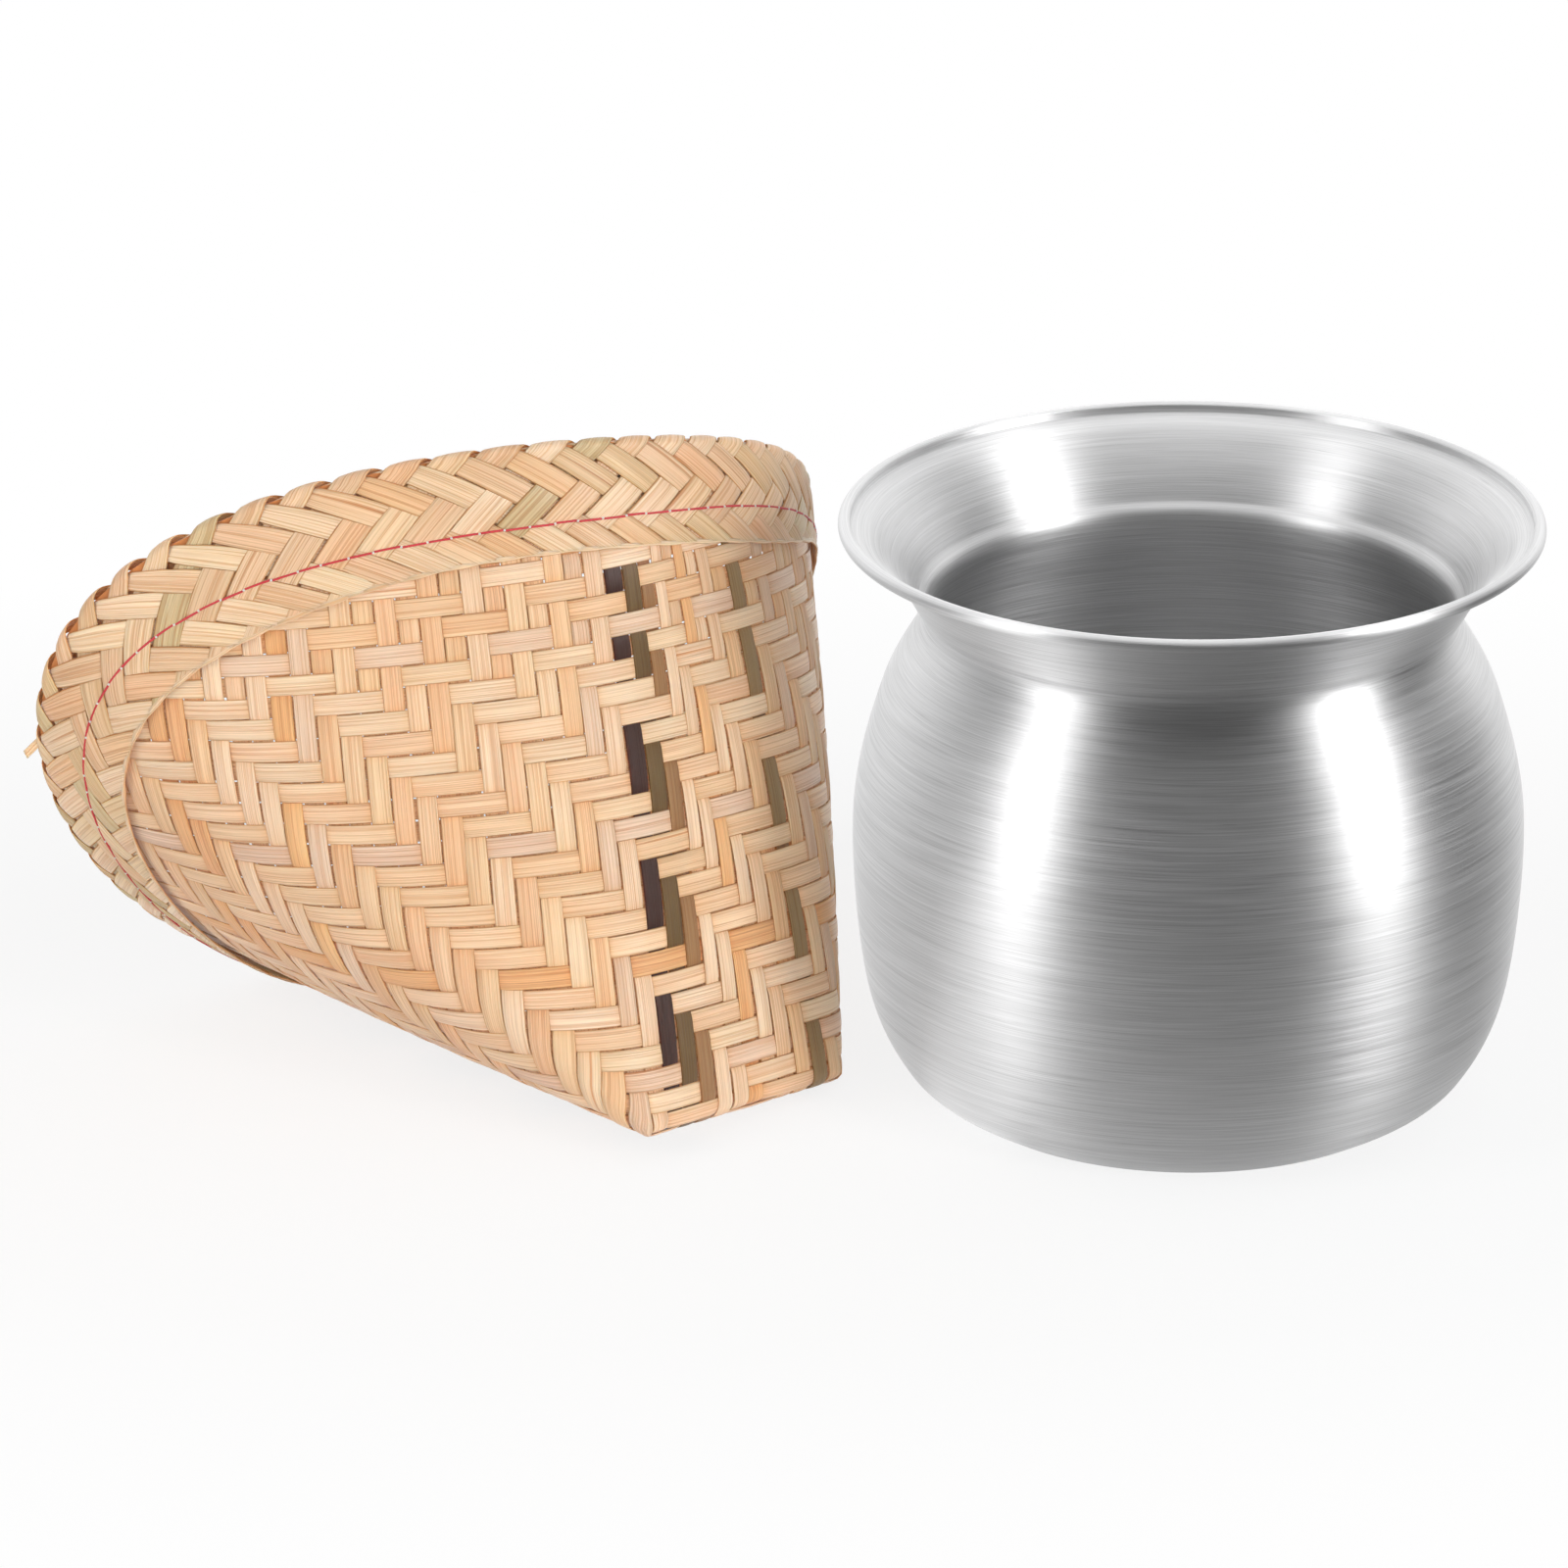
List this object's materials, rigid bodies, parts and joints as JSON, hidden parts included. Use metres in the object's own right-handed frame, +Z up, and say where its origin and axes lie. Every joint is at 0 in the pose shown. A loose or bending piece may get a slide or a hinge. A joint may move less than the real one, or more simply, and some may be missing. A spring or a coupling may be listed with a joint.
{
  "type": "sticky rice steamer",
  "caption": "Spun metal pot with a belly, neck and flared mouth, and a cone of woven bamboo with a folded bottom that steams rice over it.",
  "frame": {"origin": "middle of the underside of the pot's base, on the ground", "axes": "+Z up, +X from the basket towards the pot, -Y towards the viewer of the picture"},
  "size_m": [0.4884, 0.2908, 0.2247],
  "materials": {
    "aluminium": "spun, with fine brushed circles",
    "bamboo": "dry split bamboo, woven",
    "green_bamboo": "green split bamboo, plaited",
    "split_bamboo": "raw split bamboo"
  },
  "bodies": {
    "pot": {"pot_body": "aluminium"},
    "basket": {"basket_wall": "bamboo", "rim_band": "green_bamboo", "rim_hoop": "split_bamboo"}
  },
  "joints": [
    {"name": "basket_lift", "type": "slide", "parent": "pot", "child": "basket", "axis": [-0.28, 0, 0.96], "range_m": [0, 0.22]}
  ]
}
